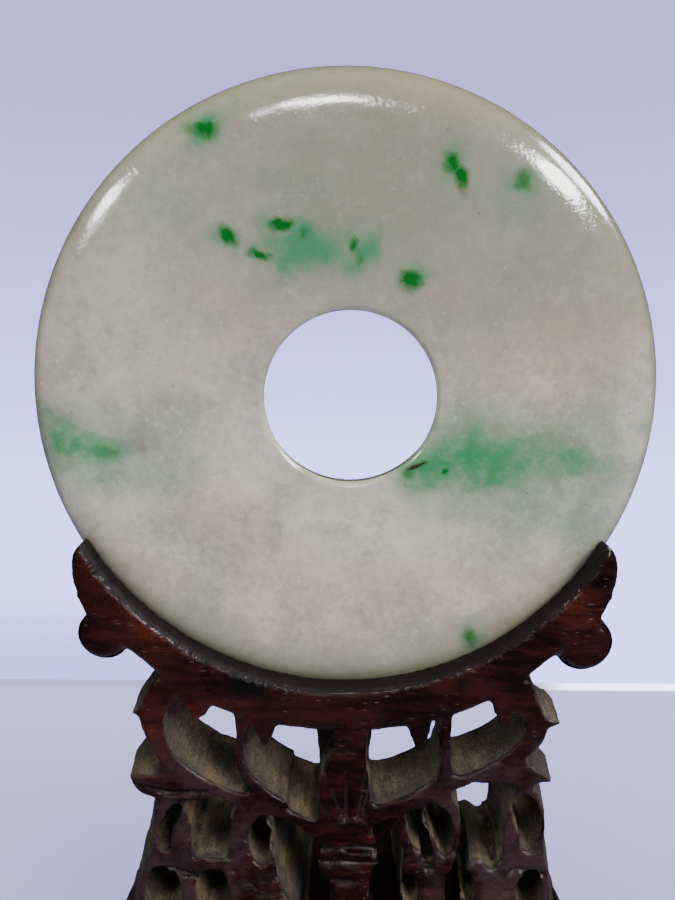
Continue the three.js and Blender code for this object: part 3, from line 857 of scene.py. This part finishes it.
# Knife cuts on the front faces, in disc radii: the line, its half width, and its depth in millimetres.
KNIFE_CUTS = [
    ([(0.023, -1.083), (0.012, -1.242), (0.012, -1.425)], 0.015, 0.55),
    ([(0.098, -1.191), (0.072, -1.299), (0.049, -1.417)], 0.013, 0.45),
    ([(0.114, -1.225), (0.092, -1.31), (0.064, -1.42)], 0.011, 0.3),
    ([(-0.075, -1.224), (-0.042, -1.312), (-0.005, -1.418)], 0.013, 0.4),
    ([(-0.099, -1.34), (-0.042, -1.434)], 0.014, 0.4),
    ([(0.139, -1.329), (0.086, -1.425)], 0.012, 0.3),
    ([(-0.13, -1.53), (0.15, -1.536)], 0.013, 0.38),
    ([(-0.12, -1.572), (0.14, -1.578)], 0.011, 0.24),
    ([(-0.13, -1.64), (0.15, -1.646)], 0.013, 0.32),
    ([(-0.735, -1.318), (-0.6, -1.345), (-0.48, -1.338)], 0.014, 0.6),
    ([(-0.7, -1.65), (-0.6, -1.618), (-0.51, -1.64)], 0.014, 0.55),
    ([(0.55, -1.625), (0.62, -1.61), (0.71, -1.64)], 0.014, 0.55),
    ([(-0.69, -0.992), (-0.6, -0.984), (-0.47, -0.99)], 0.01, 0.4),
    ([(0.56, -0.8), (0.4, -0.89), (0.2, -0.952)], 0.012, 0.22),
    ([(-0.5, -1.19), (-0.42, -1.28), (-0.33, -1.325)], 0.012, 0.4),
    ([(0.64, -1.04), (0.56, -1.13), (0.44, -1.215)], 0.012, 0.4),
    ([(-0.36, -1.06), (-0.352, -1.18)], 0.012, 0.45),
    ([(0.33, -1.06), (0.326, -1.2)], 0.012, 0.45),
    ([(-0.66, -1.42), (-0.668, -1.52), (-0.64, -1.59)], 0.012, 0.35),
    ([(-0.245, -1.43), (-0.375, -1.52), (-0.34, -1.6)], 0.012, 0.35),
]


def line_profile(across, up, line, half_width):
    """1 on a line of points and 0 at its half width, in the disc's plane."""
    nearest = np.full(len(across), np.inf)
    for (x0, z0), (x1, z1) in zip(line, line[1:]):
        run, rise = x1 - x0, z1 - z0
        share = np.clip(((across - x0) * run + (up - z0) * rise) / (run * run + rise * rise), 0, 1)
        nearest = np.minimum(nearest, np.hypot(across - x0 - share * run, up - z0 - share * rise))
    return eased(nearest, half_width, 0.0)


def carve(mesh, sizes):
    """Works the even skin like wood: cushions, knife cuts, fluted walls, nicked edges and finishes."""
    skin = Skin(mesh)
    places = places_of(mesh)
    middle = np.array(DISC_CENTRE)
    across = (places[:, 0] - middle[0]) / DISC_RADIUS
    up = (places[:, 2] - middle[2]) / DISC_RADIUS

    # The edge over the disc's seat is worn round.
    worn_round = (eased(np.hypot(across, up), 1.13, 1.06) * (up < -0.38))[:, None]
    rounded = np.stack([skin.spread(places[:, axis], sizes.lip_rounds) for axis in range(3)], 1)
    places += (rounded - places) * worn_round

    # The post's leaf is pared level before it is scored.
    leaf_width = np.interp(-up, (1.16, 1.26, 1.34, 1.5, 1.54), (0.045, 0.068, 0.082, 0.085, 0.1))
    leaf = (np.abs(across - 0.014) < leaf_width) & (up < -1.16) & (up > -1.62) & (places[:, 1] < middle[1])
    for _ in range(4):
        places[:, 1] = np.where(leaf, np.minimum(places[:, 1], skin.spread(places[:, 1], 24)), places[:, 1])
    set_places(mesh, places)
    normals = normals_of(mesh)
    depth = places[:, 1] - middle[1]
    radius = np.hypot(across, up)

    # Which walls look into an opening, which are the outer sides, and which surface holds the disc.
    seen = enclosure(mesh, places, normals, sizes.opening_reach)
    cradle = (radius < 1.15) & (up < -0.4)
    towards_disc = -(normals[:, 0] * across + normals[:, 2] * up) / np.maximum(radius, 1e-6)
    seat = cradle & (radius < 0.99) & (towards_disc > 0.35)
    foot = places[:, 2] < sizes.foot_height
    horns = (up > -0.9) & (np.abs(across) > 0.6)
    band = (np.abs(across) < 0.17) & (up < -1.49) & (up > -1.67) & (depth < 0)
    upright = (np.abs(normals[:, 1]) < 0.8) & ~seat & ~cradle & ~foot & ~horns & ~band
    wall = upright & (seen > 0.45)
    side = upright & (seen <= 0.45)
    raw = eased(skin.spread(upright.astype(float), 4), 0.35, 0.65)
    outer = eased(skin.spread(side.astype(float), 5), 0.3, 0.7) * raw
    lip = eased(skin.spread((seat & (np.abs(depth) > 2.4 * MM)).astype(float), 3), 0.35, 0.65)
    # The seat right beside and under the disc takes the lip's dark colour, partly as painted shade.
    bare_shaded_seat = eased(skin.spread((seat & (np.abs(depth) <= 2.4 * MM)).astype(float), 3), 0.35, 0.65)

    # Waxed faces swell between their edges like worn cushions, then take the knife cuts.
    facing = np.abs(normals[:, 1])
    inner = skin.spread(((facing > 0.75) & ~foot).astype(float), sizes.swell_rounds)
    fall = sizes.edge_fall * (1 - inner) ** 2 * eased(facing, 0.15, 0.75) * ~foot
    front = eased(-normals[:, 1], 0.25, 0.75)
    scored = np.zeros(len(places))
    for line, half_width, cut_depth in KNIFE_CUTS:
        one = front * line_profile(across, up, line, half_width)
        fall += one * cut_depth * MM
        if cut_depth > 0.25:
            scored = np.maximum(scored, one)
    places[:, 1] -= np.sign(depth) * fall

    # Chisel flutes run from front to back down the raw walls.
    ridge = np.abs(field(places, (330, 40, 330), 1))
    finger = 1 - np.clip(ridge / 0.45, 0, 1)
    swell = 0.5 + 0.5 * field(places, (150, 45, 150), 2)
    rough = 0.5 + 0.5 * field(places, (1100, 420, 1100), 5)
    flutes = sizes.flute_depth * (0.8 * finger + 1.3 * swell) + 0.08 * MM * rough
    cut = raw * (1 - 0.6 * outer) * flutes

    # Knife facets on the waxed faces, and small chips along their edges.
    facet = 0.5 + 0.5 * field(places, (260, 120, 330), 3) + 0.35 * np.abs(field(places, (520, 260, 700), 6))
    worked = 0.2 + 0.8 * eased(up, -0.98, -1.12)
    cut += (1 - raw) * (1 - lip) * ~foot * sizes.knife_depth * facet * worked
    smoothed = np.stack([skin.spread(places[:, axis], 5) for axis in range(3)], 1)
    convex = np.einsum("ij,ij->i", places - smoothed, normals)
    edge = eased(convex, 0.04 * MM, 0.11 * MM)
    crumble = eased(field(places, (620, 620, 620), 4), 0.2, 0.55)
    rim = edge * eased(skin.spread(raw, 4), 0.1, 0.4) * (1 - raw)
    cut += rim * crumble * sizes.chip_depth
    places -= normals * cut[:, None]
    places = np.stack([skin.spread(places[:, axis], sizes.final_rounds) for axis in range(3)], 1)
    set_places(mesh, np.clip(places, np.array(STAND_LOW), np.array(STAND_HIGH)))

    near_face = 1 - eased(skin.spread(raw, 60), 0.6, 0.97)
    front_side = eased(-depth, -2 * MM, 3 * MM)
    add_attribute(mesh, "raw", raw)
    add_attribute(mesh, "outer", outer)
    add_attribute(mesh, "border", raw * near_face * (0.3 + 0.7 * front_side))
    add_attribute(mesh, "lip", np.maximum(lip, bare_shaded_seat * 0.9))
    # Chipped edges: bare wood, partly painted highlight.
    add_attribute(mesh, "worn", rim * crumble)
    add_attribute(mesh, "scored", scored)
    # Painted shade in the creases.
    add_attribute(mesh, "crease_shade", eased(-convex, 0.03 * MM, 0.12 * MM))
    add_attribute(mesh, "hollow", raw * (1 - outer) * eased(0.5 * finger + swell, 0.75, 1.3))


# ---------------------------------------------------------------- the studio

# The camera stands a little over two disc radii in front and looks gently down.
CAMERA_PLACE = Vector((0.014, -2.2507, 0.3686)) * DISC_RADIUS + DISC_CENTRE
CAMERA_RIGHT = (0.99989, 0.01449, -0.00088)
CAMERA_UP = (-0.00242, 0.22572, 0.97419)
CAMERA_BACK = (0.01431, -0.97408, 0.22573)

# Soft lamps, seen from the disc: bearing from the front and height in degrees, distance, width,
# height, turn and power.
# The panels give the gloss, the fills give the even light.
PANELS = [
    ("left_panel", -49, 26, 0.6, 0.22, 0.08, -25, 1.1),
    ("right_panel", 39, 27, 0.6, 0.28, 0.085, 31, 2.5),
    ("front_panel", -3, 26, 0.8, 0.14, 0.08, 0, 1.2),
    ("side_panel", 82, 38, 0.6, 0.34, 0.2, 0, 4.5),
]
FILLS = [
    ("left_fill", -50, 28, 0.6, 0.3, 0.3, 0, 0.9),
    ("right_fill", 48, 34, 0.6, 0.3, 0.3, 0, 4.2),
    ("sky_fill", 0, 84, 0.9, 0.9, 0.9, 0, 12.0),
    ("back_fill", 180, 40, 0.9, 0.9, 0.5, 0, 2.0),
]


def make_camera():
    data = bpy.data.cameras.new("view_camera")
    data.sensor_width = 36
    data.lens = 28
    data.clip_start = 0.005
    camera = bpy.data.objects.new("view_camera", data)
    bpy.context.scene.collection.objects.link(camera)
    axes = Matrix((CAMERA_RIGHT, CAMERA_UP, CAMERA_BACK)).transposed()
    camera.matrix_world = Matrix.Translation(CAMERA_PLACE) @ axes.to_4x4()
    bpy.context.scene.camera = camera
    return camera


def make_lamp(name, bearing, height, distance, width, tall, turn, power, gloss):
    data = bpy.data.lights.new(name, "AREA")
    data.shape = "ELLIPSE" if gloss else "RECTANGLE"
    data.size = width
    data.size_y = tall
    data.energy = power
    data.color = (0.8, 0.8, 1.0) if name == "side_panel" else (1.0, 0.99, 0.96)
    lamp = bpy.data.objects.new(name, data)
    bpy.context.scene.collection.objects.link(lamp)
    around, rise = math.radians(bearing), math.radians(height)
    out = Vector((
        math.sin(around) * math.cos(rise), -math.cos(around) * math.cos(rise), math.sin(rise)
    ))
    lean = Matrix.Rotation(math.radians(turn), 3, "Z")
    facing = out.to_track_quat("Z", "Y").to_matrix() @ lean
    lamp.matrix_world = Matrix.Translation(DISC_CENTRE + out * distance) @ facing.to_4x4()
    lamp.visible_camera = False
    lamp.visible_glossy = gloss
    lamp.visible_diffuse = not gloss
    return lamp


def bowl_mesh(name, base, start, end, top):
    """A round sweep: level floor, then a curve that climbs into a wall all round."""
    profile = [(0.0, base), (start * 0.5, base), (start, base)]
    for step in range(1, 17):
        turn = step / 16 * QUARTER_TURN
        profile.append((start + (end - start) * math.sin(turn), base + (end - start) * (1 - math.cos(turn))))
    profile.append((end, top))
    work = bmesh.new()
    rings = []
    count = 96
    for radius, height in profile:
        if radius == 0.0:
            rings.append([work.verts.new((0, 0, height))])
            continue
        turns = [2 * math.pi * step / count for step in range(count)]
        rings.append([work.verts.new((radius * math.cos(t), radius * math.sin(t), height)) for t in turns])
    for inner, outer in zip(rings, rings[1:]):
        for step in range(count):
            after = (step + 1) % count
            corners = [outer[step], outer[after]]
            corners += [inner[0]] if len(inner) == 1 else [inner[after], inner[step]]
            work.faces.new(corners)
    mesh = bpy.data.meshes.new(name)
    work.to_mesh(mesh)
    work.free()
    mesh.polygons.foreach_set("use_smooth", [True] * len(mesh.polygons))
    return mesh


def table_mesh(name, half_width, front, back, thickness):
    work = bmesh.new()
    bmesh.ops.create_cube(work, size=1.0)
    for vertex in work.verts:
        vertex.co.x *= 2 * half_width
        vertex.co.y = back if vertex.co.y > 0 else front
        vertex.co.z = 0.0 if vertex.co.z > 0 else -thickness
    bmesh.ops.bevel(work, geom=work.edges[:], offset=thickness * 0.45, segments=4, affect="EDGES")
    mesh = bpy.data.meshes.new(name)
    work.to_mesh(mesh)
    work.free()
    mesh.polygons.foreach_set("use_smooth", [True] * len(mesh.polygons))
    return mesh


def make_studio(settings):
    make_camera()
    for panel in PANELS:
        make_lamp(*panel, gloss=True)
    for fill in FILLS:
        make_lamp(*fill, gloss=False)
    bowl = object_from(bowl_mesh("sweep", SWEEP_FLOOR, SWEEP_START, SWEEP_END, SWEEP_TOP), "sweep")
    bowl.data.materials.append(stage_material(settings))
    top = table_mesh("table_top", TABLE_HALF_WIDTH, TABLE_FRONT, settings.table_back, TABLE_THICKNESS)
    table = object_from(top, "table_top")
    table.data.materials.append(table_material(settings))
    for ray in ("diffuse", "glossy", "transmission", "shadow"):
        setattr(bowl, "visible_" + ray, False)
    table.visible_glossy = False
    world = bpy.data.worlds.new("studio_air")
    world.use_nodes = True
    g = Graph(world.node_tree)
    direction = g.node("ShaderNodeTexCoord", None, None, "Generated")
    down = g.parts(direction)[2].ease(-0.62, -0.98)
    tone = g.colour(settings.air, settings.floor_glow, down)
    air = g.node("ShaderNodeBackground", None, {"Color": tone, "Strength": 1.0})
    g.node("ShaderNodeOutputWorld", None, {"Surface": air})
    bpy.context.scene.world = world


# ---------------------------------------------------------------- settings

def length(name, description, default):
    return FloatProperty(name=name, description=description, default=default, subtype="DISTANCE",
                         unit="LENGTH", precision=5)


def rounds(name, description, default):
    return IntProperty(name=name, description=description, default=default, min=0)


def tint(name, description, default):
    return FloatVectorProperty(name=name, description=description, default=default,
                               subtype="COLOR", size=3, min=0, max=1)


class JadeDiscSettings(bpy.types.PropertyGroup):
    """Sizes and colours of the jade disc."""

    radius: length("Radius", "From the middle to the rim", DISC_RADIUS)
    thickness: length("Thickness", "From face to face", DISC_THICKNESS)
    hole_front: length("Hole front", "The bore's radius at the front", HOLE_FRONT)
    hole_back: length("Hole back", "The bore's radius at the back", HOLE_BACK)
    hole_shift: FloatVectorProperty(
        name="Hole shift", description="How far the bore is off the middle",
        default=HOLE_SHIFT, subtype="TRANSLATION", unit="LENGTH", size=3)
    shoulder: length("Shoulder", "Width of the rounded edge", SHOULDER)
    hole_bevel: length("Hole bevel", "Width of the bore's softened edges", HOLE_BEVEL)
    polish_depth: length("Polish depth", "How uneven the hand polish is", POLISH_DEPTH)
    cool_jade: tint("Cool jade", "Greenish-white body", (0.402, 0.422, 0.294))
    warm_jade: tint("Warm jade", "Pinkish-beige zones", (0.525, 0.415, 0.275))
    # Milky jade also paints light in the milky zones.
    milky_jade: tint("Milky jade", "White veils and crystals", (0.71, 0.67, 0.5))
    # Grey jade also paints the shade at the top of the disc and along its lower rim.
    grey_jade: tint("Grey jade", "Darker grain", (0.245, 0.248, 0.158))
    # Rim jade is also painted shade on the lit rim.
    rim_jade_and_shade: tint("Rim jade", "Olive tone of the rim", (0.17, 0.15, 0.09))
    halo_green: tint("Halo green", "Soft green round the spots", (0.045, 0.24, 0.098))
    band_green: tint("Band green", "Cloudy green bands", (0.012, 0.24, 0.065))
    emerald: tint("Emerald", "Saturated green spots", (0.0015, 0.13, 0.01))


class HardwoodSettings(bpy.types.PropertyGroup):
    """Sizes and colours of the carved stand."""

    grain_size: length("Skin size", "Edge of the even skin's squares", 0.3 * MM)
    soften_rounds: rounds("Softening", "Rounds of edge softening", 4)
    triangle_limit: rounds("Triangle limit", "Most triangles in the skin", 190000)
    opening_reach: length("Opening reach", "Widest opening whose walls are left raw", 13 * MM)
    foot_height: length("Foot height", "The waxed foot below the openwork", 14.5 * MM)
    lip_rounds: rounds("Lip rounds", "Rounds of wear on the edge over the seat", 14)
    swell_rounds: rounds("Swell rounds", "How wide the faces' rounded edges are", 8)
    edge_fall: length("Edge fall", "How far the waxed faces round away at their edges", 0.8 * MM)
    final_rounds: rounds("Last softening", "Rounds of softening after the carving", 1)
    flute_depth: length("Flute depth", "Depth of the chisel flutes in the raw walls", 0.36 * MM)
    knife_depth: length("Knife depth", "Depth of the facets on the waxed faces", 0.22 * MM)
    chip_depth: length("Chip depth", "Depth of the chips along the edges", 0.22 * MM)
    dark_wax: tint("Dark wax", "Darkest waxed wood", (0.005, 0.0011, 0.0008))
    red_wood: tint("Red wood", "Red-brown waxed wood", (0.0225, 0.004, 0.0027))
    # Orange wood is also the painted light on lit thin wood.
    orange_wood: tint("Orange wood", "Where the wax is thin", (0.06, 0.0115, 0.0034))
    # Plum wax is partly painted reflection of the pale table.
    plum_wax_and_reflection: tint("Plum wax", "Cooler waxed wood low down", (0.038, 0.0215, 0.0225))
    grey_side: tint("Grey side", "Outer sides of the openwork", (0.04, 0.034, 0.03))
    pore_dust: tint("Pore dust", "Pale filling of the pores", (0.15, 0.1, 0.078))
    groove_dust: tint("Groove dust", "Dusty knife cuts", (0.052, 0.042, 0.043))
    # Worn edge is partly painted highlight along the chipped edges.
    worn_edge_and_glint: tint("Worn edge", "Bare wood at chipped edges", (0.1, 0.085, 0.08))
    khaki: tint("Khaki", "Raw sawn wall", (0.165, 0.125, 0.08))
    khaki_dark: tint("Dark khaki", "Raw wall between fibres", (0.034, 0.027, 0.018))
    golden: tint("Golden", "Warm patches on the raw wall", (0.27, 0.18, 0.082))
    ink: tint("Ink stain", "Stain by the waxed faces", (0.016, 0.017, 0.022))
    dust: tint("Dust", "Pale dust on the raw wall", (0.2, 0.17, 0.13))
    # Lip dark is partly painted shade from the disc.
    lip_dark_and_shade: tint("Lip dark", "Lip wood", (0.006, 0.0024, 0.0022))
    lip_pale: tint("Lip pale", "Pale sawn streaks of the lip", (0.022, 0.013, 0.01))


class StudioSettings(bpy.types.PropertyGroup):
    """The plain floor, wall and air."""

    table_back: length("Table back", "Where the table top ends behind the stand", 0.0755)
    card_low: tint("Card low", "Sweep by the table", (0.4, 0.39, 0.92))
    card_high: tint("Card high", "Sweep up the wall", (0.185, 0.166, 0.36))
    table: tint("Table", "Table top", (0.68, 0.64, 0.98))
    air: tint("Air", "Dim room all round", (0.045, 0.045, 0.052))
    floor_glow: tint("Floor glow", "What gloss sees of the pale table", (0.34, 0.32, 0.46))


class JADEBI_OT_disc(bpy.types.Operator):
    """Make the pale jade disc with its off-centre hole and green spots"""

    bl_idname = "jadebi.disc"
    bl_label = "Jade Disc"

    def execute(self, context):
        make_jade_disc(context.scene.jadebi_disc)
        return {"FINISHED"}


class JADEBI_OT_stand(bpy.types.Operator):
    """Make the carved hardwood stand with waxed faces and raw inner walls"""

    bl_idname = "jadebi.stand"
    bl_label = "Carved Stand"

    def execute(self, context):
        make_carved_stand(context.scene.jadebi_stand)
        return {"FINISHED"}


class JADEBI_OT_studio(bpy.types.Operator):
    """Make the plain pale floor and wall, the soft lamps and the camera"""

    bl_idname = "jadebi.studio"
    bl_label = "Studio"

    def execute(self, context):
        make_studio(context.scene.jadebi_studio)
        return {"FINISHED"}


class JADEBI_PT_panel(bpy.types.Panel):
    """Lists the pieces that can be made"""

    bl_idname = "JADEBI_PT_panel"
    bl_label = "Jade Bi"
    bl_space_type = "VIEW_3D"
    bl_region_type = "UI"
    bl_category = "Jade Bi"

    def draw(self, context):
        scene = context.scene
        for operator, group in (
            (JADEBI_OT_studio, scene.jadebi_studio),
            (JADEBI_OT_disc, scene.jadebi_disc),
            (JADEBI_OT_stand, scene.jadebi_stand),
        ):
            box = self.layout.box()
            box.operator(operator.bl_idname)
            for name in group.bl_rna.properties.keys():
                if name not in ("rna_type", "name"):
                    box.prop(group, name)


CLASSES = (
    JadeDiscSettings, HardwoodSettings, StudioSettings,
    JADEBI_OT_disc, JADEBI_OT_stand, JADEBI_OT_studio, JADEBI_PT_panel,
)


def register():
    for part in CLASSES:
        bpy.utils.register_class(part)
    bpy.types.Scene.jadebi_disc = PointerProperty(type=JadeDiscSettings)
    bpy.types.Scene.jadebi_stand = PointerProperty(type=HardwoodSettings)
    bpy.types.Scene.jadebi_studio = PointerProperty(type=StudioSettings)


def unregister():
    del bpy.types.Scene.jadebi_studio
    del bpy.types.Scene.jadebi_stand
    del bpy.types.Scene.jadebi_disc
    for part in reversed(CLASSES):
        bpy.utils.unregister_class(part)


def main():
    register()
    bpy.ops.jadebi.studio()
    bpy.ops.jadebi.disc()
    bpy.ops.jadebi.stand()


if __name__ == "__main__":
    main()
